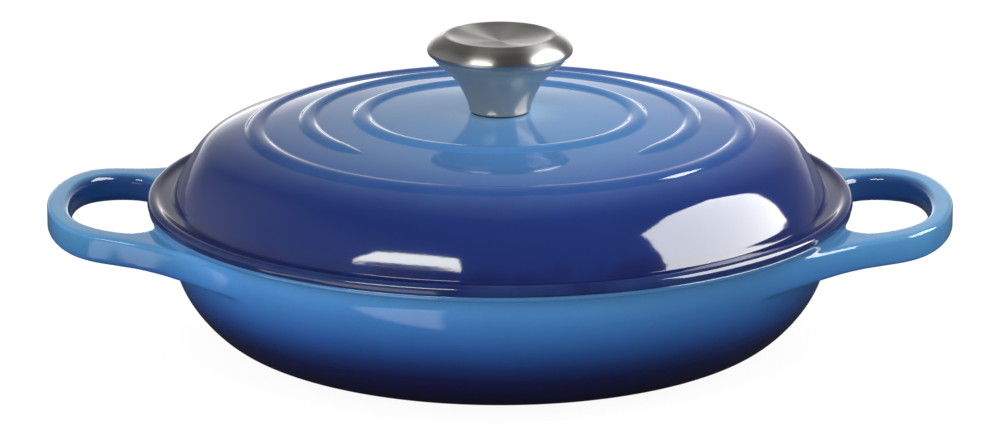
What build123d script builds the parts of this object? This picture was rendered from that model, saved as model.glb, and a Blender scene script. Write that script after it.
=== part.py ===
"""Shallow round braiser with a domed lid.

Enamelled cast-iron pan with two loop handles cast in one with it, a domed cast-iron lid
with three raised rings, and a hollow stainless-steel knob held by a screw from below.

Frame: origin at the centre of the resting face, +Z up, handles along +X and -X.
All sizes in millimetres.
"""

from build123d import *
import math
import os

os.makedirs("parts", exist_ok=True)

# ---------------------------------------------------------------- driving sizes

# pan
PAN_H = 56.5            # height of the pan's rim
FOOT_R = 89.0           # outer radius of the resting ring
FOOT_RECESS_R = 72.0    # the middle of the base is set back from the resting ring
FOOT_RECESS = 0.8
PAN_FLOOR = 4.6         # height of the cooking surface
WALL_R = 130.6          # outer radius of the upper wall
RIM_R = 138.8           # outer radius of the flared rim
RIM_IN_R = 126.9        # inner radius at the rim
RIM_EDGE = 0.9          # rounding of the rim's two edges

# outside of the pan, radius and height
PAN_OUT = [
    (FOOT_R, 0.0), (95.6, 1.1), (102.8, 3.2), (109.4, 6.3), (115.0, 10.6),
    (120.4, 16.4), (125.0, 23.2), (128.3, 31.0), (130.1, 39.0), (WALL_R, 47.0),
]
# underside of the flared rim
RIM_FLARE = [(131.0, 49.8), (132.3, 51.9), (134.8, 53.3), (RIM_R - 0.4, 54.3)]

# loop handles, cast with the pan
HANDLE_TIP_X = 178.9    # half of the overall length
HANDLE_W = 9.3          # width of the band seen from above, at the tip
HANDLE_EDGE = 2.0       # rounding of the band's long edges
# outer edge of the loop seen from above, for y >= 0
HANDLE_OUT = [
    (HANDLE_TIP_X, 0.0), (177.9, 14.0), (174.9, 27.6), (169.6, 40.0), (163.0, 48.1),
    (155.6, 52.2), (147.6, 54.6), (140.0, 57.4), (131.5, 62.2), (121.5, 69.0),
    (112.0, 75.8), (103.0, 82.0), (94.0, 87.2),
]
# edge of the finger gap seen from above, for y >= 0
HANDLE_IN = [
    (HANDLE_TIP_X - HANDLE_W, 0.0), (169.0, 12.5), (166.8, 24.0), (162.6, 33.0), (157.0, 38.3),
    (150.5, 41.2), (144.5, 41.4), (139.5, 37.8), (134.5, 30.0), (131.0, 20.0), (129.2, 10.0), (128.8, 0.0),
]
# side profile of the loop: the band rises outwards, its root is deeper
HANDLE_TOP = [(90.0, 52.9), (118.0, 53.4), (134.0, 54.2), (147.0, 55.2), (158.0, 56.2), (184.0, 57.9)]
HANDLE_BOT = [(90.0, 38.0), (110.0, 40.2), (121.0, 41.6), (133.0, 43.0), (146.0, 44.0), (158.0, 44.9), (184.0, 47.0)]

# lid
LID_SEAT = PAN_H        # the flange's flat underside rests on the pan's rim
LID_R = 139.3           # outer radius of the flange
LID_TOP = 92.6          # height of the flat place under the knob
BOSS_R = 14.0
# outside of the lid, radius and height, from the flat place under the knob out to the flange
LID_DOME = [
    (BOSS_R, LID_TOP), (24.0, 92.55), (35.0, 92.2), (48.0, 91.5), (62.0, 90.6),
    (76.0, 89.5), (88.0, 87.9), (98.0, 85.9), (106.0, 84.0), (111.0, 82.4),
    (114.6, 80.8), (117.3, 78.9), (119.5, 76.6), (121.5, 74.1), (123.3, 71.5),
    (125.0, 68.7), (126.5, 66.0), (127.8, 63.3), (128.6, 61.5),
]
DOME_END = (0.36, -0.93)
# dished flange, rising again to its rounded edge
EDGE_R = 2.4
EDGE_CENTRE = (LID_R - EDGE_R, 58.1)
EDGE_START = (EDGE_CENTRE[0] - EDGE_R * math.sin(math.radians(20)), EDGE_CENTRE[1] + EDGE_R * math.cos(math.radians(20)))
EDGE_MIDDLE = (EDGE_CENTRE[0] + EDGE_R * math.cos(math.radians(55)), EDGE_CENTRE[1] + EDGE_R * math.sin(math.radians(55)))
FLANGE = [(129.7, 60.0), (131.3, 59.25), (133.2, 59.2), (134.9, 59.75), EDGE_START]
# inside of the lid, from the locating ridge up to the middle
HOLLOW_R = 121.8
LID_HOLLOW = [
    (HOLLOW_R, 61.5), (121.5, 65.4), (119.9, 69.3), (118.3, 71.8), (116.4, 74.0),
    (114.4, 75.8), (112.2, 77.2), (109.0, 78.7), (104.6, 80.1), (97.0, 81.9),
    (86.2, 84.2), (74.2, 85.8), (60.0, 87.0), (46.0, 87.9), (32.0, 88.7), (18.0, 89.2),
]
LID_UNDER = 89.3        # flat underside around the screw
RIDGE_R = 125.3         # outer radius of the locating ridge, inside the pan's rim
RIDGE_IN_R = 122.2
RIDGE_Z = 52.4          # lowest point of the ridge

# raised rings on the lid: crest radius, crest half width, crest height above the dome
RING_OUTER_R = 96.7
RING_MIDDLE_R = 75.7
RING_INNER_R = 54.3
RING_RISE = 1.9
RING_BALL_R = 4.75      # radius of the round section of each ring
RING_GAP = 46.5         # the middle ring stops this many degrees each side of the front

# knob
KNOB_R = 28.7           # widest radius
KNOB_TOP = 124.5
GASKET_T = 0.5
GASKET_R = 11.4
FOOT_Z = LID_TOP + GASKET_T
SHEET = 1.2             # thickness of the two pressed shells
SCREW_R = 3.0           # M6
SCREW_HOLE_R = 3.4
WASHER_R = 8.5
WASHER_T = 1.2
HEAD_R = 6.2
HEAD_H = 3.6
INSERT_R = 7.0
INSERT_TOP = 109.0
SCREW_TIP = 106.0


def ring_height(r):
    """Height of the dome's outside at radius r, by straight interpolation."""
    for (r0, z0), (r1, z1) in zip(LID_DOME, LID_DOME[1:]):
        if r0 <= r <= r1:
            return z0 + (z1 - z0) * (r - r0) / (r1 - r0)
    return LID_TOP


def save(builder, name):
    builder.part.label = name
    export_step(builder.part, f"parts/{name}.step")


# ---------------------------------------------------------------- pan

# inside of the pan, from the floor up to the rim
PAN_IN = [
    (80.0, PAN_FLOOR), (91.5, 5.2), (100.6, 7.4), (107.8, 10.9), (113.9, 15.9),
    (119.3, 22.8), (123.2, 31.2), (125.5, 40.0), (126.5, 48.0),
]

with BuildPart() as handle_loop:
    # one loop, at the +X end, before it is joined to the wall
    with BuildSketch(Plane.XY.offset(25)):
        with BuildLine():
            edge = [(x, -y) for x, y in reversed(HANDLE_OUT)] + HANDLE_OUT[1:]
            Spline(*edge)
            Line(edge[-1], edge[0])
        make_face()
        with BuildLine():
            gap = HANDLE_IN + [(x, -y) for x, y in reversed(HANDLE_IN[1:-1])]
            Spline(*gap, periodic=True)
        make_face(mode=Mode.SUBTRACT)
    extrude(amount=35)
    # the band's side profile
    with BuildSketch(Plane.XZ):
        with BuildLine():
            Spline(*HANDLE_TOP)
            Spline(*HANDLE_BOT)
            Line(HANDLE_TOP[0], HANDLE_BOT[0])
            Line(HANDLE_TOP[-1], HANDLE_BOT[-1])
        make_face()
    extrude(amount=110, both=True, mode=Mode.INTERSECT)
    band_edges = handle_loop.edges().filter_by(lambda e: e.length > 60 and e.center().X > 110)
    fillet(band_edges, HANDLE_EDGE)

with BuildPart() as pan_body:
    # solid of revolution of the outside
    with BuildSketch(Plane.XZ):
        with BuildLine():
            Spline(*PAN_OUT, tangents=[(1, 0.12), (0.02, 1)])
            Spline((WALL_R, 47.0), *RIM_FLARE, tangents=[(0.02, 1), (1, 0.25)])
            Polyline(RIM_FLARE[-1], (RIM_R, RIM_FLARE[-1][1] + 0.5), (RIM_R, PAN_H - RIM_EDGE), (RIM_R - RIM_EDGE, PAN_H), (0, PAN_H), (0, FOOT_RECESS),
                     (FOOT_RECESS_R, FOOT_RECESS), (FOOT_RECESS_R + 1.6, 0), (FOOT_R, 0))
        make_face()
    revolve(axis=Axis.Z)
    # the two loops, one at each end
    add(handle_loop.part)
    mirror(handle_loop.part, about=Plane.YZ)
    # hollow
    with BuildSketch(Plane.XZ):
        with BuildLine():
            Spline(*PAN_IN, tangents=[(1, 0), (0.05, 1)])
            Polyline(PAN_IN[-1], (RIM_IN_R, PAN_H - RIM_EDGE), (RIM_IN_R + RIM_EDGE, PAN_H), (RIM_IN_R + RIM_EDGE, PAN_H + 2),
                     (0, PAN_H + 2), (0, PAN_FLOOR), PAN_IN[0])
        make_face()
    revolve(axis=Axis.Z, mode=Mode.SUBTRACT)
save(pan_body, "pan_body")

# ---------------------------------------------------------------- lid

MID_Z = ring_height(RING_MIDDLE_R) + RING_RISE - RING_BALL_R
with BuildPart() as open_ring:
    # middle ring, open at the front, with round ends
    start = math.radians(-90 + RING_GAP)
    with BuildSketch(Plane(origin=(0, 0, 0), x_dir=(math.cos(start), math.sin(start), 0),
                           z_dir=(math.sin(start), -math.cos(start), 0))):
        with Locations((RING_MIDDLE_R, MID_Z)):
            Circle(RING_BALL_R)
    revolve(axis=Axis.Z, revolution_arc=360 - 2 * RING_GAP)
    for turn in (-90 + RING_GAP, -90 - RING_GAP):
        end = math.radians(turn)
        with Locations((RING_MIDDLE_R * math.cos(end), RING_MIDDLE_R * math.sin(end), MID_Z)):
            Sphere(RING_BALL_R)

with BuildPart() as lid_body:
    with BuildSketch(Plane.XZ):
        with BuildLine():
            Line((0, LID_TOP), (BOSS_R, LID_TOP))
            Spline(*LID_DOME, tangents=[(1, 0), DOME_END])
            Spline(LID_DOME[-1], *FLANGE, tangents=[DOME_END, (math.cos(math.radians(20)), math.sin(math.radians(20)))])
            ThreePointArc(EDGE_START, EDGE_MIDDLE, (LID_R, EDGE_CENTRE[1]))
            Polyline((LID_R, EDGE_CENTRE[1]), (LID_R, LID_SEAT + 0.8), (LID_R - 0.8, LID_SEAT), (0, LID_SEAT), (0, LID_TOP))
        make_face()
    revolve(axis=Axis.Z)
    # full rings
    for ring_r in (RING_OUTER_R, RING_INNER_R):
        with Locations((0, 0, ring_height(ring_r) + RING_RISE - RING_BALL_R)):
            Torus(ring_r, RING_BALL_R)
    add(open_ring.part)
    # hollow under the dome
    with BuildSketch(Plane.XZ):
        with BuildLine():
            Polyline((0, LID_UNDER), (0, LID_SEAT - 1), (HOLLOW_R, LID_SEAT - 1), LID_HOLLOW[0])
            Spline(*LID_HOLLOW, (12.0, LID_UNDER), tangents=[(0, 1), (-1, 0)])
            Line((12.0, LID_UNDER), (0, LID_UNDER))
        make_face()
    revolve(axis=Axis.Z, mode=Mode.SUBTRACT)
    # ridge that centres the lid in the pan
    with BuildSketch(Plane.XZ):
        with BuildLine():
            Polyline((HOLLOW_R, LID_SEAT), (RIDGE_IN_R, RIDGE_Z), (RIDGE_R - 1.2, RIDGE_Z), (RIDGE_R, RIDGE_Z + 2.0),
                     (RIDGE_R, LID_SEAT), (RIDGE_R, LID_SEAT + 2), (HOLLOW_R, LID_SEAT + 2), (HOLLOW_R, LID_SEAT))
        make_face()
    revolve(axis=Axis.Z)
    # hole for the knob's screw
    with Locations((0, 0, LID_TOP)):
        Hole(SCREW_HOLE_R, depth=10)
save(lid_body, "lid_body")

# ---------------------------------------------------------------- knob

SEAM_Z = 115.6
with BuildPart() as knob_cap:
    # pressed dish: bevelled shoulder, raised edge, hollowed top, and a rolled-in lower lip
    with BuildSketch(Plane.XZ):
        with BuildLine():
            Spline((0, 121.6), (9.0, 122.0), (16.0, 123.0), (20.2, 124.1), tangents=[(1, 0), (1, 0.35)])
            Spline((20.2, 124.1), (21.8, KNOB_TOP), (23.4, 124.0), tangents=[(1, 0.35), (1, -0.5)])
            Spline((23.4, 124.0), (26.0, 121.9), (28.0, 119.4), (KNOB_R, 117.6), tangents=[(1, -0.6), (0.05, -1)])
            Spline((KNOB_R, 117.6), (28.2, 116.4), (26.9, SEAM_Z), tangents=[(0, -1), (-1, -0.25)])
            Polyline((26.9, SEAM_Z), (25.6, SEAM_Z), (25.6, SEAM_Z + SHEET), (26.5, SEAM_Z + SHEET))
            Spline((26.5, SEAM_Z + SHEET), (27.2, 117.5), (26.9, 118.9), (25.2, 121.0), (22.9, 122.9),
                   (21.7, 123.2), (20.4, 122.9), tangents=[(1, 0.1), (-1, -0.35)])
            Spline((20.4, 122.9), (16.2, 121.8), (9.0, 120.8), (0, 120.4), tangents=[(-1, -0.35), (-1, 0)])
            Line((0, 120.4), (0, 121.6))
        make_face()
    revolve(axis=Axis.Z)
save(knob_cap, "knob_cap")

with BuildPart() as knob_stem:
    # flared shell with a closed foot
    outer = [(12.1, FOOT_Z + 0.5), (12.3, 95.0), (12.7, 96.9), (13.7, 99.6), (15.2, 102.7), (17.2, 105.8),
             (19.9, 108.8), (23.0, 111.7), (25.4, 114.2), (26.3, SEAM_Z)]
    inner = [(25.0, SEAM_Z), (24.2, 114.7), (22.0, 112.5), (19.0, 109.8), (16.2, 106.5),
             (14.2, 103.3), (12.6, 99.9), (11.5, 96.6)]
    with BuildSketch(Plane.XZ):
        with BuildLine():
            Polyline((SCREW_HOLE_R, FOOT_Z), (11.6, FOOT_Z), outer[0])
            Spline(*outer)
            Line(outer[-1], inner[0])
            Spline(*inner)
            Polyline(inner[-1], (11.2, FOOT_Z + 1.5), (SCREW_HOLE_R, FOOT_Z + 1.5), (SCREW_HOLE_R, FOOT_Z))
        make_face()
    revolve(axis=Axis.Z)
    # narrow shelf that the cap's rolled lip sits on
    with BuildSketch(Plane.XZ):
        with BuildLine():
            Polyline((24.4, SEAM_Z - 0.9), (25.4, SEAM_Z - 0.9), (25.4, SEAM_Z + 1.6), (24.4, SEAM_Z + 1.6), (24.4, SEAM_Z - 0.9))
        make_face()
    revolve(axis=Axis.Z)
save(knob_stem, "knob_stem")

with BuildPart() as knob_insert:
    # threaded bush welded to the inside of the stem's foot
    with BuildSketch(Plane.XY.offset(FOOT_Z + 1.5)):
        RegularPolygon(radius=INSERT_R, side_count=6)
        Circle(SCREW_R + 0.04, mode=Mode.SUBTRACT)
    extrude(amount=INSERT_TOP - FOOT_Z - 1.5)
save(knob_insert, "knob_insert")

with BuildPart() as knob_gasket:
    # thin heat-proof ring between the knob's foot and the enamel
    with BuildSketch(Plane.XY.offset(LID_TOP)):
        Circle(GASKET_R)
        Circle(SCREW_HOLE_R + 1.0, mode=Mode.SUBTRACT)
    extrude(amount=GASKET_T)
save(knob_gasket, "knob_gasket")

with BuildPart() as knob_washer:
    with BuildSketch(Plane.XY.offset(LID_UNDER - WASHER_T)):
        Circle(WASHER_R)
        Circle(SCREW_R + 0.2, mode=Mode.SUBTRACT)
    extrude(amount=WASHER_T)
    chamfer(knob_washer.edges().filter_by(GeomType.CIRCLE).sort_by(SortBy.RADIUS)[-2:], 0.25)
save(knob_washer, "knob_washer")

with BuildPart() as knob_screw:
    # pan-head machine screw, put in from below
    head_top = LID_UNDER - WASHER_T
    with BuildSketch(Plane.XY.offset(head_top - HEAD_H)):
        Circle(HEAD_R)
    extrude(amount=HEAD_H)
    fillet(knob_screw.edges().group_by(Axis.Z)[0], 1.6)
    with BuildSketch(Plane.XY.offset(head_top)):
        Circle(SCREW_R)
    extrude(amount=SCREW_TIP - head_top)
    chamfer(knob_screw.edges().group_by(Axis.Z)[-1], 0.6)
    # cross recess
    with BuildSketch(Plane.XY.offset(head_top - HEAD_H)):
        Rectangle(6.4, 1.3)
        Rectangle(1.3, 6.4)
    extrude(amount=1.7, mode=Mode.SUBTRACT)
save(knob_screw, "knob_screw")
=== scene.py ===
import math

import bpy
import numpy as np
from mathutils import Matrix, Vector


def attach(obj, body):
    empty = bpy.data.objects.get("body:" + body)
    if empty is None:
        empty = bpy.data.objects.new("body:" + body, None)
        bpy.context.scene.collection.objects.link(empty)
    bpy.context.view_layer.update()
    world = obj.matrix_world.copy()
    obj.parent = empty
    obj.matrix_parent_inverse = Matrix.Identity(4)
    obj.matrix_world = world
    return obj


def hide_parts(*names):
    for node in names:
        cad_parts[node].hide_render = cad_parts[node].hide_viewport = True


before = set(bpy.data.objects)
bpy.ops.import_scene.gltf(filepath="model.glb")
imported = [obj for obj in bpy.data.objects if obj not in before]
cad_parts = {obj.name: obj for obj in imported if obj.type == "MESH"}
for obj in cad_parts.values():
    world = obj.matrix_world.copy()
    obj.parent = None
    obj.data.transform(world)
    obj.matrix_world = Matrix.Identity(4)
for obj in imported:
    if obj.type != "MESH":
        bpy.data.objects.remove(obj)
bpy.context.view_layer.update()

MM = 0.001
scene = bpy.context.scene

# ------------------------------------------------------------------ curves


def spline(points, step, start=None, end=None):
    """A smooth line through points, sampled about every step millimetres. start and end are tangents."""
    p = np.array(points, float)
    h = np.linalg.norm(np.diff(p, axis=0), axis=1)
    s = np.concatenate([[0], np.cumsum(h)])
    n = len(p)
    a = np.zeros((n, n))
    b = np.zeros((n, 2))
    for i in range(1, n - 1):
        a[i, i - 1], a[i, i], a[i, i + 1] = h[i], 2 * (h[i - 1] + h[i]), h[i - 1]
        b[i] = 3 * (h[i] * (p[i] - p[i - 1]) / h[i - 1] + h[i - 1] * (p[i + 1] - p[i]) / h[i])
    for row, tangent, inner in ((0, start, 1), (n - 1, end, n - 2)):
        if tangent is not None:
            t = np.array(tangent, float)
            a[row, row] = 1
            b[row] = t / np.linalg.norm(t)
        else:
            a[row, row], a[row, inner] = 2, 1
            k = 0 if row == 0 else n - 2
            b[row] = 3 * (p[k + 1] - p[k]) / h[k]
    m = np.linalg.solve(a, b)
    out = [p[0]]
    for i in range(n - 1):
        count = max(2, int(math.ceil(h[i] / step)))
        t = np.linspace(0, 1, count + 1)[1:, None]
        out.append((2 * t**3 - 3 * t**2 + 1) * p[i] + (t**3 - 2 * t**2 + t) * h[i] * m[i]
                   + (-2 * t**3 + 3 * t**2) * p[i + 1] + (t**3 - t**2) * h[i] * m[i + 1])
    return np.vstack(out)


def rounded(points, radii, n=6):
    """A chain of straight lines whose corners are rounded to these radii."""
    out = [np.array(points[0], float)]
    for i in range(1, len(points) - 1):
        a, c, b = (np.array(points[k], float) for k in (i - 1, i, i + 1))
        u, v = (a - c) / np.linalg.norm(a - c), (b - c) / np.linalg.norm(b - c)
        half = math.acos(max(-1, min(1, float(u @ v)))) / 2
        r = radii[i - 1]
        if r <= 0 or half > 1.56:
            out.append(c)
            continue
        d = min(r / math.tan(half), 0.48 * np.linalg.norm(a - c), 0.48 * np.linalg.norm(b - c))
        r = d * math.tan(half)
        centre = c + (u + v) / np.linalg.norm(u + v) * (r / math.sin(half))
        p0, p1 = c + u * d, c + v * d
        a0 = math.atan2(*(p0 - centre)[::-1])
        turn = (math.atan2(*(p1 - centre)[::-1]) - a0 + math.pi) % (2 * math.pi) - math.pi
        for k in range(n + 1):
            w = a0 + turn * k / n
            out.append(centre + r * np.array([math.cos(w), math.sin(w)]))
    out.append(np.array(points[-1], float))
    return np.array(out)


def chain(*parts):
    """Joins lines end to end and drops the doubled points."""
    out = [parts[0]]
    for p in parts[1:]:
        out.append(p[1:] if np.linalg.norm(p[0] - out[-1][-1]) < 1e-6 else p)
    return np.vstack(out)


# ------------------------------------------------------------------ meshes


def mesh_object(name, verts_mm, faces, body, slot, *nodes, attributes=None):
    mesh = bpy.data.meshes.new(name)
    mesh.from_pydata((np.asarray(verts_mm) * MM).tolist(), [], faces)
    for key, values in (attributes or {}).items():
        mesh.attributes.new(key, "FLOAT", "POINT").data.foreach_set("value", np.asarray(values, np.float32))
    mesh.validate()
    mesh.shade_smooth()
    obj = bpy.data.objects.new(name, mesh)
    scene.collection.objects.link(obj)
    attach(obj, body)
    if nodes:
        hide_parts(*nodes)
    return obj


def lathe(profile, n, lift=None):
    """Turns a profile (radius, height) about Z. Points on the axis become one vertex. Returns vertices and faces.
    The profile runs with the solid on its left."""
    profile = np.asarray(profile, float)
    ang = np.linspace(0, 2 * math.pi, n, endpoint=False)
    verts, index = [], []
    for i, (r, z) in enumerate(profile):
        if r < 1e-6:
            index.append(np.full(n, len(verts)))
            verts.append((0.0, 0.0, z))
        else:
            index.append(np.arange(n) + len(verts))
            rr, zz = (np.full(n, r), np.full(n, z)) if lift is None else lift(i, r, z, ang)
            verts.extend(zip(rr * np.cos(ang), rr * np.sin(ang), zz))
    faces = []
    for a, b in zip(index, index[1:]):
        for j in range(n):
            k = (j + 1) % n
            f = [a[j], a[k], b[k], b[j]]
            f = [int(v) for v in dict.fromkeys(f)]
            if len(f) > 2:
                faces.append(f)
    return np.array(verts), faces


# ------------------------------------------------------------------ sizes, in millimetres, as in the construction

PAN_H, FOOT_R, FOOT_RECESS_R, FOOT_RECESS, PAN_FLOOR = 56.5, 89.0, 72.0, 0.8, 4.6
WALL_R, RIM_R, RIM_IN_R, RIM_EDGE = 130.6, 138.8, 126.9, 0.9
PAN_OUT = [(FOOT_R, 0.0), (95.6, 1.1), (102.8, 3.2), (109.4, 6.3), (115.0, 10.6),
           (120.4, 16.4), (125.0, 23.2), (128.3, 31.0), (130.1, 39.0), (WALL_R, 47.0)]
PAN_IN = [(80.0, PAN_FLOOR), (91.5, 5.2), (100.6, 7.4), (107.8, 10.9), (113.9, 15.9),
          (119.3, 22.8), (123.2, 31.2), (125.5, 40.0), (126.5, 48.0)]
HANDLE_OUT = [(178.9, 0.0), (177.9, 14.0), (174.9, 27.6), (169.6, 40.0), (163.0, 48.1),
              (155.6, 52.2), (147.6, 54.6), (140.0, 57.4), (131.5, 62.2), (121.5, 69.0),
              (112.0, 75.8), (103.0, 82.0), (94.0, 87.2)]
HANDLE_IN = [(169.6, 0.0), (169.0, 12.5), (166.8, 24.0), (162.6, 33.0), (157.0, 38.3), (150.5, 41.2),
             (144.5, 41.4), (139.5, 37.8), (134.5, 30.0), (131.0, 20.0), (129.2, 10.0), (128.8, 0.0)]
HANDLE_TOP = [(90.0, 52.9), (118.0, 53.4), (134.0, 54.2), (147.0, 55.2), (158.0, 56.2), (184.0, 57.9)]
HANDLE_BOT = [(90.0, 38.0), (110.0, 40.2), (121.0, 41.6), (133.0, 43.0), (146.0, 44.0), (158.0, 44.9), (184.0, 47.0)]
LOOP_EDGE_OUT, LOOP_EDGE_IN = 1.7, 3.0

LID_R, LID_TOP, BOSS_R = 139.3, 92.6, 14.0
LID_DOME = [(BOSS_R, LID_TOP), (24.0, 92.55), (35.0, 92.2), (48.0, 91.5), (62.0, 90.6),
            (76.0, 89.5), (88.0, 87.9), (98.0, 85.9), (106.0, 84.0), (111.0, 82.4),
            (114.6, 80.8), (117.3, 78.9), (119.5, 76.6), (121.5, 74.1), (123.3, 71.5),
            (125.0, 68.7), (126.5, 66.0), (127.8, 63.3), (128.6, 61.5)]
DOME_END = (0.36, -0.93)
FLANGE_EDGE_R = 2.4
EDGE_MID = (LID_R - FLANGE_EDGE_R, 58.1)
FLANGE = [(129.45, 59.25), (132.4, 59.2), (134.6, 59.65)]
LID_HOLLOW = [(121.8, 61.5), (121.5, 65.4), (119.9, 69.3), (118.3, 71.8), (116.4, 74.0),
              (114.4, 75.8), (112.2, 77.2), (109.0, 78.7), (104.6, 80.1), (97.0, 81.9),
              (86.2, 84.2), (74.2, 85.8), (60.0, 87.0), (46.0, 87.9), (32.0, 88.7), (18.0, 89.2)]
LID_UNDER, RIDGE_R, RIDGE_IN_R, RIDGE_Z, SCREW_HOLE_R = 89.3, 125.3, 122.2, 52.4, 3.4
RINGS = ((96.7, 3.8, False), (75.7, 3.5, True), (54.3, 3.8, False))
RING_RISE, RING_GAP = 1.45, math.radians(46.5)

# ------------------------------------------------------------------ pan: one casting, wall and loops flow into each other

GRID = 0.25


class Outline:
    """Signed distance to closed outlines in a plane, negative inside, looked up from a fine table."""

    def __init__(self, outlines, u_span, v_span):
        self.u0, self.v0 = u_span[0], v_span[0]
        u = np.arange(u_span[0], u_span[1] + GRID, GRID)
        v = np.arange(v_span[0], v_span[1] + GRID, GRID)
        uu, vv = np.meshgrid(u, v, indexing="ij")
        best = np.full(uu.shape, 1e9)
        inside = np.zeros(uu.shape, bool)
        for outline in outlines:
            outline = np.asarray(outline, float)
            for a, b in zip(outline, np.roll(outline, -1, axis=0)):
                d = b - a
                length = float(d @ d)
                if length < 1e-12:
                    continue
                t = np.clip(((uu - a[0]) * d[0] + (vv - a[1]) * d[1]) / length, 0, 1)
                best = np.minimum(best, (uu - a[0] - t * d[0]) ** 2 + (vv - a[1] - t * d[1]) ** 2)
                if d[1] != 0:
                    inside ^= ((a[1] > vv) != (b[1] > vv)) & (uu < a[0] + (vv - a[1]) * d[0] / d[1])
        self.table = np.where(inside, -1, 1) * np.sqrt(best)

    def __call__(self, u, v):
        t = self.table
        u = np.clip((u - self.u0) / GRID, 0, t.shape[0] - 1.001)
        v = np.clip((v - self.v0) / GRID, 0, t.shape[1] - 1.001)
        i, j = u.astype(int), v.astype(int)
        u, v = u - i, v - j
        return (t[i, j] * (1 - u) + t[i + 1, j] * u) * (1 - v) + (t[i, j + 1] * (1 - u) + t[i + 1, j + 1] * u) * v


def soft_min(a, b, k):
    h = np.maximum(k - np.abs(a - b), 0) / k
    return np.minimum(a, b) - h**3 * k / 6


def round_max(a, b, r):
    """The solid inside both, with the edge between them rounded to radius r."""
    u, v = np.maximum(a + r, 0), np.maximum(b + r, 0)
    return np.minimum(np.maximum(a, b), -r) + np.sqrt(u * u + v * v)


wall_line = chain(
    rounded([(-60.0, FOOT_RECESS), (FOOT_RECESS_R, FOOT_RECESS), (FOOT_RECESS_R + 1.6, 0.0), (FOOT_R, 0.0)], [1.2, 1.2], 5),
    spline(PAN_OUT, 1.0, (1, 0.12), (0.02, 1)),
    spline([(WALL_R, 47.0), (131.0, 49.8), (132.3, 51.9), (134.8, 53.3), (RIM_R - 0.6, 54.2)], 0.25, (0.02, 1), (1, 0.3)),
    np.array([(RIM_R - 0.6, 54.2), (RIM_R - 0.2, 54.45), (RIM_R, 54.9), (RIM_R, 90.0), (-60.0, 90.0)]))
hollow_line = chain(
    np.array([(-60.0, PAN_FLOOR), (80.0, PAN_FLOOR)]),
    spline(PAN_IN, 1.0, (1, 0), (0.05, 1)),
    np.array([PAN_IN[-1], (RIM_IN_R, 55.4), (RIM_IN_R, 95.0), (-60.0, 95.0)]))
wall_section = Outline([wall_line], (0, 190), (-6, 66))
hollow_section = Outline([hollow_line], (0, 190), (-6, 66))

# a loop seen from above, and its side profile
loop_edge = spline(HANDLE_OUT, 1.5, (0, 1))
gap_edge = spline(HANDLE_IN, 1.2, (0, 1), (0, -1))
loop_above = Outline([np.vstack([loop_edge, loop_edge[::-1] * (1, -1)]), np.vstack([gap_edge, gap_edge[::-1] * (1, -1)])],
                     (80, 186), (-2, 96))
gap_above = Outline([np.vstack([gap_edge, gap_edge[::-1] * (1, -1)])], (80, 186), (-2, 96))
loop_top, loop_bot = spline(HANDLE_TOP, 0.5), spline(HANDLE_BOT, 0.5)


def loop_solid(x, y, above, z):
    """Distance to a loop: above is the distance to its outline seen from above."""
    top = np.interp(x, loop_top[:, 0], loop_top[:, 1])
    bot = np.interp(x, loop_bot[:, 0], loop_bot[:, 1])
    crown = 0.25 * (1 - (1 - np.clip(-above / 4.6, 0, 1)) ** 2)
    # the outer long edges are crisper than those of the finger gap
    ahead = np.clip((gap_above(x, y) - 2.0) / 3.0, 0, 1)
    edge = LOOP_EDGE_IN + (LOOP_EDGE_OUT - LOOP_EDGE_IN) * ahead
    a = above + edge
    b = np.abs(z - (top + bot) / 2) - ((top - bot) / 2 - 0.2 + crown) + edge
    return np.sqrt(np.maximum(a, 0) ** 2 + np.maximum(b, 0) ** 2) + np.minimum(np.maximum(a, b), 0) - edge


def pan_solid(x, y, z, above=None):
    x, y = np.abs(x), np.abs(y)
    r = np.hypot(x, y)
    if above is None:
        above = loop_above(x, y)
    out = soft_min(wall_section(r, z), loop_solid(x, y, above, z), 3.5)
    # nothing rises into the lid's flange just outside the rim
    ceiling = PAN_H - 1.1 * np.clip((r - RIM_R - 0.1) / 0.5, 0, 1) + 8 * np.clip((r - 140.2) / 3.5, 0, 1)
    out = round_max(out, z - ceiling, RIM_EDGE)
    return round_max(out, -hollow_section(r, z), 1.2)


def grid_line(*spans):
    out = [spans[0][0]]
    for a, b, s in spans:
        out.extend(np.linspace(a, b, max(1, int(round((b - a) / s))) + 1)[1:])
    return np.array(out)


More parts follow.
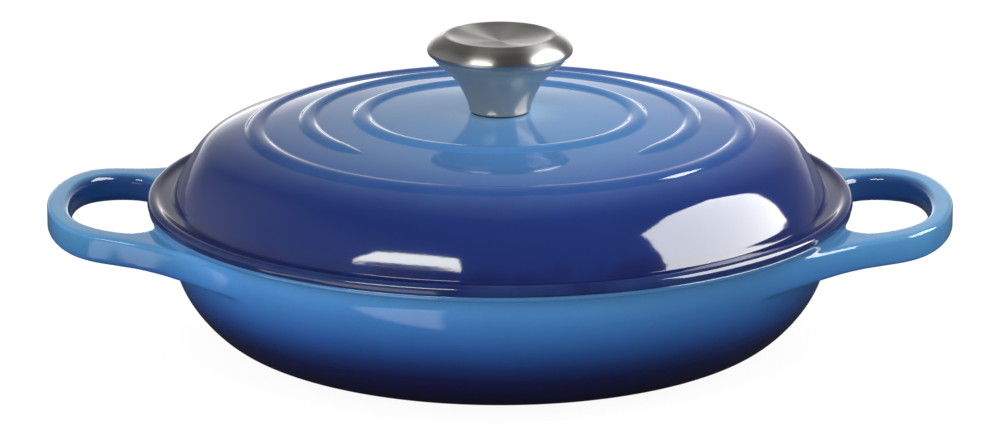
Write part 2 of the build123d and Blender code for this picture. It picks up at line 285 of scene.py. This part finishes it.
def net(values, jj, ii, kk):
    """Surface net of values on a grid that closes on itself along its first axis. Returns grid places and quads."""
    nj, ni, nk = values.shape
    inside = values < 0
    count = np.zeros((nj, ni - 1, nk - 1), np.int16)
    total = np.zeros((nj, ni - 1, nk - 1, 3), np.float32)
    base = np.stack(np.meshgrid(np.arange(nj), np.arange(ni), np.arange(nk), indexing="ij"), -1).astype(np.float32)
    quads = []
    cross = {}
    for axis in range(3):
        if axis == 0:
            a, b, place = values, np.roll(values, -1, 0), base
        elif axis == 1:
            a, b, place = values[:, :-1], values[:, 1:], base[:, :-1]
        else:
            a, b, place = values[:, :, :-1], values[:, :, 1:], base[:, :, :-1]
        hit = (a < 0) != (b < 0)
        where = np.nonzero(hit)
        t = a[where] / (a[where] - b[where])
        at = place[where].copy()
        at[:, axis] += t
        cross[axis] = (where, a[where] < 0)
        others = [x for x in range(3) if x != axis]
        for da in (0, 1):
            for db in (0, 1):
                cell = [where[0].copy(), where[1].copy(), where[2].copy()]
                cell[others[0]] = cell[others[0]] - da
                cell[others[1]] = cell[others[1]] - db
                spot = at.copy()
                low = cell[0] < 0
                spot[low, 0] += nj  # a place seen from across the seam
                cell[0] = cell[0] % nj
                good = (cell[1] >= 0) & (cell[1] < ni - 1) & (cell[2] >= 0) & (cell[2] < nk - 1)
                c = tuple(x[good] for x in cell)
                np.add.at(count, c, 1)
                np.add.at(total, c, spot[good])
    ids = np.full(count.shape, -1, int)
    active = np.nonzero(count)
    ids[active] = np.arange(len(active[0]))
    places = total[active] / count[active][:, None]
    for axis in range(3):
        (w, first) = cross[axis]
        others = [x for x in range(3) if x != axis]
        ring = []
        ok = np.ones(len(w[0]), bool)
        for da, db in ((1, 1), (0, 1), (0, 0), (1, 0)):
            cell = [w[0].copy(), w[1].copy(), w[2].copy()]
            cell[others[0]] = cell[others[0]] - da
            cell[others[1]] = cell[others[1]] - db
            cell[0] = cell[0] % nj
            good = (cell[1] >= 0) & (cell[1] < ni - 1) & (cell[2] >= 0) & (cell[2] < nk - 1)
            ok &= good
            ring.append(np.where(good, ids[cell[0], np.clip(cell[1], 0, ni - 2), np.clip(cell[2], 0, nk - 2)], -1))
        q = np.stack(ring, 1)[ok]
        f = first[ok]
        if axis == 1:
            f = ~f
        q[f] = q[f][:, ::-1]
        quads.append(q)
    return places, np.vstack(quads)


# angles are close together where the loops are
fine, coarse = math.radians(0.42), math.radians(1.2)
quarter = grid_line((0, math.radians(46), fine), (math.radians(46), math.radians(52), math.radians(0.8)),
                    (math.radians(52), math.pi / 2, coarse))
half = np.concatenate([quarter, math.pi - quarter[-2::-1]])
angles = np.concatenate([half, math.pi + half[1:-1]])
radii = grid_line((0, 70, 7.0), (70, 76, 0.6), (76, 86, 2.0), (86, 92, 0.8), (92, 124, 1.5), (124, 138, 0.55), (138, 182, 0.85))
heights = grid_line((-1.0, 1.6, 0.35), (1.6, 3.9, 0.75), (3.9, 5.5, 0.4), (5.5, 33, 1.3), (33, 52, 0.85), (52, 60, 0.42))
ga, gr, gz = np.meshgrid(angles, radii, heights, indexing="ij")
gx, gy = np.abs(gr * np.cos(ga)), np.abs(gr * np.sin(ga))
above_grid = loop_above(gx[:, :, :1], gy[:, :, :1])
values = pan_solid(gx, gy, gz, above_grid)
places, quads = net(values, angles, radii, heights)
del gx, gy, values
turn = np.interp(places[:, 0], np.arange(len(angles) + 2), np.append(angles, [2 * math.pi, 2 * math.pi + angles[1]]))
rad = np.interp(places[:, 1], np.arange(len(radii)), radii)
hgt = np.interp(places[:, 2], np.arange(len(heights)), heights)
points = np.stack([rad * np.cos(turn), rad * np.sin(turn), hgt], 1)


def slope(solid, p, e=0.12):
    g = np.empty_like(p)
    for k in range(3):
        d = np.zeros(3)
        d[k] = e
        g[:, k] = (solid(*(p + d).T) - solid(*(p - d).T)) / (2 * e)
    return g


for _ in range(5):
    g = slope(pan_solid, points)
    size = np.maximum((g**2).sum(1), 0.05)
    move = -(pan_solid(*points.T) / size)[:, None] * g
    length = np.linalg.norm(move, axis=1)[:, None]
    points = points + move * np.minimum(1, 0.8 / np.maximum(length, 1e-9))

# the small holes on the axis, above and below
faces = quads.tolist()
used = {}
for f in faces:
    for a, b in zip(f, f[1:] + f[:1]):
        used[(a, b)] = used.get((a, b), 0) + 1
rims = {a: b for (a, b) in used if (b, a) not in used}
points = list(map(tuple, points))
while rims:
    start, ring = next(iter(rims)), []
    at = start
    while at in rims:
        ring.append(at)
        at = rims.pop(at)
    centre = len(points)
    points.append((0.0, 0.0, float(np.mean([points[i][2] for i in ring]))))
    for a, b in zip(ring, ring[1:] + ring[:1]):
        faces.append([b, a, centre])
points = np.array(points)

normals = slope(pan_solid, points, 0.2)
normals /= np.linalg.norm(normals, axis=1)[:, None]
pr, pz = np.hypot(points[:, 0], points[:, 1]), points[:, 2]
depth_in = hollow_section(pr, pz)
inner = np.clip((0.5 - depth_in) / 1.0, 0, 1) * (pr < RIM_IN_R + 2)  # 1 on the inside of the pan
band = np.clip((pz - (PAN_H - 0.7)) / 0.5, 0, 1) * (pr < RIM_R - 0.2)  # the rim's flat top
far_out = np.abs(points[:, 0]), np.abs(points[:, 1])
hole = np.clip(1.4 - gap_above(*far_out) / 1.6, 0, 1) * np.clip((pr - 133) / 4, 0, 1) * (far_out[0] > 100)  # faces of the gap
pan = mesh_object("pan", points, faces, "pan", "pan_enamel", "pan_body", attributes={"inner": inner, "band": band, "hole": hole})
pan.data.normals_split_custom_set_from_vertices(normals.tolist())

# ------------------------------------------------------------------ lid

LID_N = 480
lid_out = chain(
    np.array([(SCREW_HOLE_R, LID_TOP), (8.0, LID_TOP), (BOSS_R, LID_TOP)]),
    spline(LID_DOME, 0.62, (1, 0), DOME_END))
edge_arc = [(EDGE_MID[0] + FLANGE_EDGE_R * math.cos(w), EDGE_MID[1] + FLANGE_EDGE_R * math.sin(w))
            for w in np.radians(np.arange(110, -1, -5.5))]
lid_rim = chain(
    rounded([LID_DOME[-1], FLANGE[0], FLANGE[1]], [0.8], 5),
    spline([FLANGE[1], FLANGE[2], edge_arc[0]], 0.25, (1, 0), (math.cos(math.radians(20)), math.sin(math.radians(20)))),
    np.array(edge_arc),
    rounded([edge_arc[-1], (LID_R, PAN_H), (RIDGE_R, PAN_H),
             (RIDGE_R, RIDGE_Z), (RIDGE_IN_R, RIDGE_Z), (LID_HOLLOW[0][0], 58.0), LID_HOLLOW[0]], [0.7, 0.5, 1.4, 1.2, 3.0], 6))
lid_in = chain(spline(LID_HOLLOW + [(12.0, LID_UNDER)], 1.2, (-0.06, 1), (-1, 0)),
               np.array([(12.0, LID_UNDER), (SCREW_HOLE_R, LID_UNDER), (SCREW_HOLE_R, LID_TOP)]))
lid_line = chain(lid_out, lid_rim, lid_in)
n_out, n_rim = len(lid_out), len(lid_rim)


def bead(d, half_width, k=0.45):
    """Height of a raised ring at distance d from its crest, with softly filled feet."""
    rise = RING_RISE * np.minimum(1, half_width / 3.5)
    ball = (half_width**2 + rise**2) / (2 * rise)
    top = np.sqrt(np.maximum(ball**2 - d**2, 0)) - (ball - rise)
    top = np.where(np.abs(d) > ball, -9.0, top)
    h = np.maximum(k - np.abs(top), 0) / k
    return np.maximum(top, 0) + h**3 * k / 6


def raise_rings(i, r, z, ang):
    """Lifts the lid's outside into its three rings; the middle one is open at the front."""
    if i >= n_out or not 45 < r < 106:
        return np.full(len(ang), r), np.full(len(ang), z)
    t = lid_line[min(i + 1, n_out - 1)] - lid_line[i - 1]
    t = t / np.linalg.norm(t)
    up = np.zeros(len(ang))
    for crest, half_width, is_open in RINGS:
        d = np.full(len(ang), r - crest)
        wide = np.full(len(ang), half_width)
        if is_open:
            # the open ends run out to a point
            off = np.abs((ang + math.pi / 2 + math.pi) % (2 * math.pi) - math.pi)
            wide = half_width * np.sqrt(np.clip((off - RING_GAP) * crest / 13.0 + 0.15, 0.0004, 1))
        up = np.maximum(up, np.where(wide > 0.3, bead(d, wide), 0))
    return r - t[1] * up, z + t[0] * up


verts, faces = lathe(lid_line[::-1], LID_N, lambda i, r, z, a: raise_rings(len(lid_line) - 1 - i, r, z, a))
# the first and last profile points are the same ring
keep = len(verts) - LID_N
faces = [[v - keep if v >= keep else v for v in f] for f in faces]
verts = verts[:keep]
order = np.repeat(np.arange(len(lid_line))[::-1], LID_N)[:keep]
inner = np.clip((order - (n_out + n_rim - 1)) / 3.0 + 0.5, 0, 1)
rim_z = verts[:, 2]
vr = np.hypot(verts[:, 0], verts[:, 1])
band = ((order >= n_out) & (rim_z < PAN_H + 0.3) & (vr < LID_R - 0.7) & (vr > RIDGE_R - 0.2) & (order < n_out + n_rim)).astype(float)
inner = np.where((order >= n_out + n_rim - 9) & (order < n_out + n_rim), 1.0, inner)
lid = mesh_object("lid", verts, faces, "lid", "lid_enamel", "lid_body", attributes={"inner": inner, "band": band})

# ------------------------------------------------------------------ knob

SEAM_Z = 115.6
cap_line = chain(
    spline([(0.0, 121.2), (9.0, 121.6), (15.6, 122.5), (19.6, 123.45)], 0.5, (1, 0), (1, 0.32)),
    spline([(19.6, 123.45), (20.9, 123.75), (21.9, 123.7), (22.8, 123.3)], 0.2, (1, 0.32), (1, -0.5)),
    spline([(22.8, 123.3), (25.1, 122.1), (27.3, 120.3), (28.35, 118.8)], 0.5, (1, -0.5), (1, -1.6)),
    spline([(28.35, 118.8), (28.68, 117.7), (28.3, 116.5), (26.9, SEAM_Z)], 0.2, (1, -1.6), (-1, -0.45)),
    rounded([(26.9, SEAM_Z), (25.6, SEAM_Z), (25.6, SEAM_Z + 1.2), (26.5, SEAM_Z + 1.2)], [0.1, 0.2], 3),
    spline([(26.5, SEAM_Z + 1.2), (27.0, 117.6), (26.5, 118.8), (24.6, 120.6), (22.3, 122.1), (21.4, 122.5), (20.2, 122.3)], 0.6,
           (1, 0.1), (-1, -0.35)),
    spline([(20.2, 122.3), (16.2, 121.4), (9.0, 120.5), (0.0, 120.0)], 1.2, (-1, -0.35), (-1, 0)))
verts, faces = lathe(cap_line[::-1], 192)
cap = mesh_object("cap", verts, faces, "lid", "knob_steel", "knob_cap")

FOOT_Z = 93.1
stem_out = [(12.1, FOOT_Z + 0.5), (12.35, 95.0), (12.9, 96.9), (14.0, 99.6), (15.6, 102.7), (17.7, 105.8),
            (20.5, 108.8), (23.7, 111.7), (25.9, 114.2), (26.6, SEAM_Z)]
stem_in = [(25.0, SEAM_Z), (24.2, 114.7), (22.0, 112.5), (19.0, 109.8), (16.2, 106.5), (14.2, 103.3), (12.6, 99.9), (11.5, 96.6)]
stem_line = chain(
    rounded([(3.4, FOOT_Z), (11.6, FOOT_Z), (12.1, FOOT_Z + 0.5)], [0.3], 3),
    spline(stem_out, 0.5), np.array([(26.6, SEAM_Z), (25.0, SEAM_Z)]), spline(stem_in, 1.0),
    np.array([(11.5, 96.6), (11.2, 94.6), (3.4, 94.6), (3.4, FOOT_Z)]))
verts, faces = lathe(stem_line, 192)
keep = len(verts) - 192
faces = [[v - keep if v >= keep else v for v in f] for f in faces]
stem = mesh_object("stem", verts[:keep], faces, "lid", "knob_steel", "knob_stem")

# ------------------------------------------------------------------ materials


class Nodes:
    """Short names for building a material's node tree."""

    def __init__(self, name):
        self.material = bpy.data.materials.new(name)
        self.material.use_nodes = True
        self.tree = self.material.node_tree
        self.bsdf = self.tree.nodes["Principled BSDF"]

    def add(self, kind, **settings):
        n = self.tree.nodes.new(kind)
        for k, v in settings.items():
            if k in n.inputs:
                n.inputs[k].default_value = v
            else:
                setattr(n, k, v)
        return n

    def link(self, a, b):
        self.tree.links.new(a, b)

    def math(self, operation, a, b=None, clamp=False):
        n = self.tree.nodes.new("ShaderNodeMath")
        n.operation = operation
        n.use_clamp = clamp
        for k, v in enumerate((a, b)):
            if v is None:
                continue
            if isinstance(v, (int, float)):
                n.inputs[k].default_value = v
            else:
                self.link(v, n.inputs[k])
        return n.outputs[0]

    def ramp(self, value, stops, mode="EASE"):
        n = self.tree.nodes.new("ShaderNodeValToRGB")
        n.color_ramp.interpolation = mode
        while len(n.color_ramp.elements) < len(stops):
            n.color_ramp.elements.new(0.5)
        for e, (at, colour) in zip(n.color_ramp.elements, stops):
            e.position = at
            e.color = (*colour, 1)
        self.link(value, n.inputs[0])
        return n.outputs[0]

    def mix(self, factor, a, b):
        n = self.tree.nodes.new("ShaderNodeMix")
        n.data_type = "RGBA"
        for socket, v in ((n.inputs[0], factor), (n.inputs[6], a), (n.inputs[7], b)):
            if isinstance(v, (int, float)):
                socket.default_value = v
            elif isinstance(v, tuple):
                socket.default_value = (*v, 1)
            else:
                self.link(v, socket)
        return n.outputs[2]

    def noise(self, vector, scale, detail=3.0, rough=0.5):
        n = self.tree.nodes.new("ShaderNodeTexNoise")
        n.inputs["Scale"].default_value = scale
        n.inputs["Detail"].default_value = detail
        n.inputs["Roughness"].default_value = rough
        self.link(vector, n.inputs["Vector"])
        return n.outputs[0]


def enamel(name, colour_of):
    """Glossy vitreous enamel: colour from colour_of, faint mottling, a slightly wavy surface, a pale inside and a dark rim."""
    m = Nodes(name)
    place = m.add("ShaderNodeTexCoord").outputs["Object"]
    xyz = m.add("ShaderNodeSeparateXYZ")
    m.link(place, xyz.inputs[0])
    x, y, z = xyz.outputs
    r = m.math("SQRT", m.math("ADD", m.math("MULTIPLY", x, x), m.math("MULTIPLY", y, y)))
    blotch = m.noise(place, 55, 3, 0.55)
    cloud = m.noise(place, 9, 2, 0.5)
    speck = m.noise(place, 900, 2, 0.6)
    colour = colour_of(m, x, y, z, r, blotch, cloud)
    # fine mottle of the fired glaze
    dark = m.math("MULTIPLY", m.math("SUBTRACT", speck, 0.5), 0.10)
    shade = m.add("ShaderNodeHueSaturation")
    m.link(m.math("ADD", m.math("ADD", 1.0, dark), m.math("MULTIPLY", m.math("SUBTRACT", blotch, 0.5), 0.16)), shade.inputs["Value"])
    m.link(colour, shade.inputs["Color"])
    # pale inside with fine speckles
    inner = m.add("ShaderNodeAttribute", attribute_name="inner").outputs["Fac"]
    band = m.add("ShaderNodeAttribute", attribute_name="band").outputs["Fac"]
    fleck = m.math("GREATER_THAN", m.noise(place, 1500, 1, 0.5), 0.66)
    sand = m.mix(m.math("MULTIPLY", fleck, 0.25), m.mix(cloud, (0.60, 0.52, 0.40), (0.68, 0.60, 0.48)), (0.42, 0.34, 0.24))
    colour = m.mix(inner, shade.outputs[0], sand)
    colour = m.mix(band, colour, m.mix(speck, (0.012, 0.013, 0.018), (0.03, 0.032, 0.04)))
    m.link(colour, m.bsdf.inputs["Base Color"])
    # roughness: glassy, a little duller inside and on the bare rim
    rough = m.math("ADD", 0.045, m.math("MULTIPLY", cloud, 0.03))
    rough = m.math("ADD", rough, m.math("MULTIPLY", inner, 0.10))
    rough = m.math("ADD", rough, m.math("MULTIPLY", band, 0.35))
    m.link(rough, m.bsdf.inputs["Roughness"])
    m.bsdf.inputs["IOR"].default_value = 1.52
    # surface: long soft waves of the poured glaze and a fine orange peel
    wave = m.add("ShaderNodeBump", Strength=1.0, Distance=0.00006)
    m.link(m.noise(place, 38, 2, 0.4), wave.inputs["Height"])
    peel = m.add("ShaderNodeBump", Strength=1.0, Distance=0.000006)
    m.link(m.noise(place, 520, 2, 0.5), peel.inputs["Height"])
    m.link(wave.outputs[0], peel.inputs["Normal"])
    m.link(peel.outputs[0], m.bsdf.inputs["Normal"])
    return m.material


def pan_colour(m, x, y, z, r, blotch, cloud):
    # light azure above, deep navy at the base; the loops stay light outside and are dark blue inside the finger gap
    wobble = m.math("MULTIPLY", m.math("SUBTRACT", cloud, 0.5), 0.006)
    h = m.math("DIVIDE", m.math("ADD", z, wobble), 0.060, clamp=True)
    wall = m.ramp(h, [(0.0, (0.010, 0.007, 0.036)), (0.20, (0.009, 0.009, 0.058)), (0.30, (0.010, 0.016, 0.084)),
                      (0.40, (0.014, 0.040, 0.175)), (0.50, (0.023, 0.085, 0.310)), (0.60, (0.037, 0.145, 0.430)),
                      (0.70, (0.055, 0.205, 0.530)), (0.80, (0.090, 0.300, 0.670)), (0.90, (0.115, 0.360, 0.740)),
                      (1.0, (0.120, 0.380, 0.750))], "LINEAR")
    out = m.math("DIVIDE", m.math("SUBTRACT", r, 0.134), 0.012, clamp=True)
    loop = m.ramp(h, [(0.70, (0.030, 0.120, 0.400)), (0.80, (0.062, 0.230, 0.520)), (0.90, (0.095, 0.310, 0.610)),
                      (0.97, (0.140, 0.390, 0.690))], "LINEAR")
    colour = m.mix(out, wall, loop)
    hole = m.add("ShaderNodeAttribute", attribute_name="hole").outputs["Fac"]
    colour = m.mix(m.math("MULTIPLY", hole, 0.85), colour, (0.016, 0.060, 0.250))
    # painted shade: the rim and the top of the lip below it are darkened where the lid's flange overhangs them
    rim = m.math("DIVIDE", m.math("SUBTRACT", z, 0.0530), 0.0008, clamp=True)
    rim = m.math("MULTIPLY", rim, m.math("DIVIDE", m.math("SUBTRACT", 0.1400, r), 0.0010, clamp=True))
    colour = m.mix(m.math("MULTIPLY", rim, 0.45), colour, (0.016, 0.050, 0.220))
    # painted light and shade: the wall is lighter on its left side and darker on its right, and the loops the other way
    # round, for how the light falls
    side = m.math("SUBTRACT", 1.0, m.math("MULTIPLY", x, m.math("SUBTRACT", 1.0, m.math("MULTIPLY", out, 1.6))))
    tone = m.add("ShaderNodeHueSaturation")
    m.link(side, tone.inputs["Value"])
    m.link(colour, tone.inputs["Color"])
    return tone.outputs[0]


def lid_colour(m, x, y, z, r, blotch, cloud):
    # pale azure in the middle, deep cobalt then navy towards the rim; painted light makes the right side lighter and
    # the left darker
    wobble = m.math("MULTIPLY", m.math("SUBTRACT", blotch, 0.5), 0.012)
    d = m.math("DIVIDE", m.math("ADD", r, wobble), 0.140, clamp=True)
    colour = m.ramp(d, [(0.0, (0.200, 0.480, 0.880)), (0.12, (0.180, 0.440, 0.840)), (0.20, (0.115, 0.330, 0.690)),
                        (0.30, (0.090, 0.275, 0.590)), (0.45, (0.070, 0.215, 0.510)), (0.58, (0.062, 0.170, 0.425)),
                        (0.66, (0.052, 0.140, 0.400)), (0.73, (0.026, 0.078, 0.300)), (0.79, (0.015, 0.046, 0.225)),
                        (0.84, (0.014, 0.034, 0.185)), (0.91, (0.013, 0.031, 0.172)), (0.925, (0.012, 0.022, 0.125)),
                        (0.96, (0.008, 0.014, 0.100)), (1.0, (0.018, 0.038, 0.150))], "LINEAR")
    # painted light and shade: lighter on the right side and darker on the left, twice as strong in the middle as near
    # the rim
    inside = m.math("SUBTRACT", 1.0, m.math("DIVIDE", m.math("SUBTRACT", r, 0.100), 0.026, clamp=True))
    side = m.math("ADD", 1.0, m.math("MULTIPLY", x, m.math("ADD", 1.6, m.math("MULTIPLY", inside, 1.6))))
    tone = m.add("ShaderNodeHueSaturation")
    m.link(side, tone.inputs["Value"])
    m.link(colour, tone.inputs["Color"])
    return tone.outputs[0]


pan.data.materials.append(enamel("pan_enamel", pan_colour))
lid.data.materials.append(enamel("lid_enamel", lid_colour))


def steel(name, base, rough, aniso, ring_scale, ring_depth, metallic=1.0):
    m = Nodes(name)
    place = m.add("ShaderNodeTexCoord").outputs["Object"]
    xyz = m.add("ShaderNodeSeparateXYZ")
    m.link(place, xyz.inputs[0])
    x, y, z = xyz.outputs
    r = m.math("SQRT", m.math("ADD", m.math("MULTIPLY", x, x), m.math("MULTIPLY", y, y)))
    turn = m.math("ARCTAN2", y, x)
    # brush marks run round the axis: fine across, long along
    lines = m.add("ShaderNodeCombineXYZ")
    m.link(m.math("MULTIPLY", r, ring_scale), lines.inputs[0])
    m.link(m.math("MULTIPLY", turn, 0.9), lines.inputs[1])
    m.link(m.math("MULTIPLY", z, ring_scale), lines.inputs[2])
    brush = m.noise(lines.outputs[0], 1.0, 4, 0.65)
    broad = m.noise(place, 120, 2, 0.5)
    m.bsdf.inputs["Metallic"].default_value = metallic
    m.bsdf.inputs["Anisotropic"].default_value = aniso
    m.bsdf.inputs["Anisotropic Rotation"].default_value = 0.25  # highlights spread across the brush marks
    tangent = m.add("ShaderNodeTangent", direction_type="RADIAL", axis="Z")
    m.link(tangent.outputs[0], m.bsdf.inputs["Tangent"])
    tone = m.math("ADD", 0.93, m.math("MULTIPLY", brush, 0.14))
    shade = m.add("ShaderNodeHueSaturation")
    shade.inputs["Color"].default_value = (*base, 1)
    m.link(tone, shade.inputs["Value"])
    m.link(shade.outputs[0], m.bsdf.inputs["Base Color"])
    m.link(m.math("ADD", rough - 0.05, m.math("ADD", m.math("MULTIPLY", brush, 0.07), m.math("MULTIPLY", broad, 0.04))),
           m.bsdf.inputs["Roughness"])
    bump = m.add("ShaderNodeBump", Strength=1.0, Distance=ring_depth)
    m.link(brush, bump.inputs["Height"])
    m.link(bump.outputs[0], m.bsdf.inputs["Normal"])
    return m.material


cap.data.materials.append(steel("knob_steel", (0.47, 0.46, 0.455), 0.30, 0.85, 9000.0, 0.000004))
# the stem's steel is duller: it mirrors less and scatters more
stem.data.materials.append(steel("knob_stem_steel", (0.50, 0.44, 0.39), 0.19, 0.35, 9000.0, 0.000003, 0.76))
plain_steel = steel("plain_steel", (0.62, 0.62, 0.62), 0.32, 0.2, 3000.0, 0.000006)

seal = Nodes("gasket")
seal_place = seal.add("ShaderNodeTexCoord").outputs["Object"]
seal.link(seal.mix(seal.noise(seal_place, 400, 3), (0.012, 0.012, 0.014), (0.03, 0.03, 0.033)), seal.bsdf.inputs["Base Color"])
seal.link(seal.math("ADD", 0.5, seal.math("MULTIPLY", seal.noise(seal_place, 900, 2), 0.2)), seal.bsdf.inputs["Roughness"])
for node, material in (("knob_insert", plain_steel), ("knob_washer", plain_steel), ("knob_screw", plain_steel),
                       ("knob_gasket", seal.material)):
    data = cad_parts[node].data
    data.materials.clear()
    data.materials.append(material)

# ------------------------------------------------------------------ stage, light, camera

floor_mesh = bpy.data.meshes.new("floor")
floor_mesh.from_pydata([(-9, -9, 0), (9, -9, 0), (9, 9, 0), (-9, 9, 0)], [], [[0, 1, 2, 3]])
floor = bpy.data.objects.new("floor", floor_mesh)
scene.collection.objects.link(floor)
# the floor is pale to look at and throws soft light up; what glossy surfaces mirror of it is a dim grey table that is
# bright only far behind and where two pale cards lie in front on the left
fl = Nodes("floor")
fl.bsdf.inputs["Roughness"].default_value = 0.9
fl.bsdf.inputs["Specular IOR Level"].default_value = 0.0
fl_path = fl.add("ShaderNodeLightPath")
seen, mirrored_floor = fl_path.outputs["Is Camera Ray"], fl_path.outputs["Is Glossy Ray"]
fl_xyz = fl.add("ShaderNodeSeparateXYZ")
fl.link(fl.add("ShaderNodeTexCoord").outputs["Object"], fl_xyz.inputs[0])
fx, fy = fl_xyz.outputs[0], fl_xyz.outputs[1]


def within(value, low, high, soft):
    """1 between low and high, falling to 0 over a soft edge."""
    up = fl.math("DIVIDE", fl.math("SUBTRACT", value, low), soft, clamp=True)
    return fl.math("MULTIPLY", up, fl.math("DIVIDE", fl.math("SUBTRACT", high, value), soft, clamp=True))


far = fl.ramp(fl.math("DIVIDE", fy, 0.8, clamp=True), [(0.25, (0, 0, 0)), (0.85, (1, 1, 1))])
side = fl.math("ADD", fx, fl.math("MULTIPLY", fy, -0.37))
card = fl.math("MULTIPLY", within(side, -0.34, 0.032, 0.012), within(fy, -0.60, -0.198, 0.012))
small = fl.math("MULTIPLY", within(fx, -0.324, -0.244, 0.012), within(fy, -0.215, -0.120, 0.010))
cards = fl.math("MULTIPLY", fl.math("MAXIMUM", card, small), 2.0)
fl.link(fl.mix(mirrored_floor, fl.mix(seen, (0.50, 0.50, 0.50), (0.13, 0.13, 0.13)), (0.08, 0.08, 0.08)), fl.bsdf.inputs["Base Color"])
fl.bsdf.inputs["Emission Color"].default_value = (1, 1, 1, 1)
aside = fl.math("DIVIDE", fl.math("ABSOLUTE", fx), fl.math("MAXIMUM", fy, 0.05))
far = fl.math("MULTIPLY", far, fl.math("SUBTRACT", 1.0, fl.math("MULTIPLY", fl.math("DIVIDE", fl.math("SUBTRACT", aside, 0.12), 0.25, clamp=True), 0.82)))
glow = fl.math("MULTIPLY", fl.math("MAXIMUM", far, cards), mirrored_floor)
fl.link(fl.math("ADD", fl.math("MULTIPLY", seen, 0.94), glow), fl.bsdf.inputs["Emission Strength"])
floor_mesh.materials.append(fl.material)


def studio_world():
    """Even soft light for the matt part of every surface. What glossy surfaces mirror is a dim studio: light near the
    horizon behind the object, a dim panel to the left, dark in front and above."""
    world = bpy.data.worlds.new("studio")
    scene.world = world
    world.use_nodes = True
    w = Nodes.__new__(Nodes)
    w.tree = world.node_tree
    shade = w.tree.nodes["Background"]
    xyz = w.add("ShaderNodeSeparateXYZ")
    w.link(w.add("ShaderNodeTexCoord").outputs["Generated"], xyz.inputs[0])
    x, y, z = xyz.outputs
    flat = w.math("SQRT", w.math("ADD", w.math("ADD", w.math("MULTIPLY", x, x), w.math("MULTIPLY", y, y)), 0.0001))
    back = w.math("DIVIDE", y, flat)
    left = w.math("ADD", w.math("MULTIPLY", w.math("DIVIDE", x, flat), -0.985), w.math("MULTIPLY", back, -0.174))

    def grey(*stops):
        return [(at, (v, v, v)) for at, v in stops]

    behind = w.ramp(w.math("ADD", w.math("MULTIPLY", back, 0.5), 0.5),
                    grey((0.55, 0.0), (0.80, 0.08), (0.92, 0.17), (0.985, 0.52), (1.0, 1.0)), "LINEAR")
    rise = w.ramp(z, grey((0.0, 1.0), (0.09, 0.80), (0.18, 0.52), (0.26, 0.38), (0.40, 0.27), (0.62, 0.16), (1.0, 0.10)), "LINEAR")
    side = w.ramp(left, grey((0.35, 0.0), (0.9, 1.0)), "EASE")
    side_rise = w.ramp(z, grey((0.0, 1.0), (0.15, 0.95), (0.55, 0.55), (0.85, 0.0)), "EASE")
    total = w.math("ADD", w.math("MULTIPLY", w.math("MULTIPLY", behind, rise), 1.35),
                   w.math("MULTIPLY", w.math("MULTIPLY", side, side_rise), 0.42))
    wide = w.ramp(back, grey((0.1, 0.03), (0.80, 0.06), (0.93, 0.18), (0.992, 1.0)), "LINEAR")
    low = w.ramp(z, grey((0.0, 1.0), (0.08, 0.35), (0.18, 0.0)), "LINEAR")
    total = w.math("ADD", total, w.math("MULTIPLY", w.math("MULTIPLY", wide, low), 1.3))
    total = w.math("ADD", total, 0.09)
    path = w.add("ShaderNodeLightPath")
    eye, mirror = path.outputs["Is Camera Ray"], path.outputs["Is Glossy Ray"]
    soft = w.math("SUBTRACT", 1.0, w.math("MULTIPLY", z, 0.25))
    total = w.math("ADD", w.math("MULTIPLY", total, mirror), w.math("MULTIPLY", soft, w.math("SUBTRACT", 1.0, mirror)))
    w.link(w.math("MAXIMUM", total, eye), shade.inputs[1])
    w.link(w.mix(mirror, (1, 1, 1), (1.0, 0.98, 0.95)), shade.inputs[0])


studio_world()


def softbox(name, at, facing, across, width, height, radiance, colour=(1, 1, 1), mirrored=True):
    """A soft light of this size, given by its brightness. It is either what glossy surfaces mirror, or what lights the
    matt part of every surface."""
    data = bpy.data.lights.new(name, "AREA")
    data.shape = "RECTANGLE"
    data.size, data.size_y, data.color = width, height, colour
    data.energy = radiance * math.pi * width * height
    obj = bpy.data.objects.new(name, data)
    scene.collection.objects.link(obj)
    obj.location = at
    obj.rotation_mode = "QUATERNION"
    back = -Vector(facing).normalized()
    side = (Vector(across) - Vector(across).dot(back) * back).normalized()
    obj.rotation_quaternion = Matrix((side, back.cross(side), back)).transposed().to_quaternion()
    obj.visible_camera = False
    obj.visible_diffuse = not mirrored
    obj.visible_glossy = mirrored
    return obj


softbox("box_right", (1.4506, -0.1113, 1.0608), (-0.9695, -0.2447, -0.0158), (-0.2413, 0.9635, -0.1158),
        1.737, 1.321, 12.5, (1.0, 1.0, 0.96))
softbox("box_left", (-0.5998, -0.9003, 0.8186), (0.3373, 0.8248, 0.4538), (0.9204, -0.3902, 0.0251),
        0.704, 0.448, 17.0, (0.98, 1.0, 0.90))
softbox("soft_right", (1.4506, -0.1113, 1.0608), (-0.9695, -0.2447, -0.0158), (-0.2413, 0.9635, -0.1158),
        1.737, 1.321, 1.3, (1.0, 1.0, 0.98), False)
softbox("soft_left", (-1.4, -1.3, 0.45), (1.4, 1.3, -0.40), (1, -1, 0), 1.3, 0.8, 2.6, (1, 1, 1), False)

cam_data = bpy.data.cameras.new("camera")
cam_data.sensor_width = 36
cam_data.lens = 227.46
cam_data.clip_end = 100
camera = bpy.data.objects.new("camera", cam_data)
scene.collection.objects.link(camera)
tilt, away, aim = math.radians(15.39), 2.5, 0.05083
camera.location = (0, -away * math.cos(tilt), aim + away * math.sin(tilt))
camera.rotation_mode = "QUATERNION"
camera.rotation_quaternion = (Vector((0, 0, aim)) - camera.location).to_track_quat("-Z", "Y")
scene.camera = camera
scene.view_settings.view_transform = "Standard"
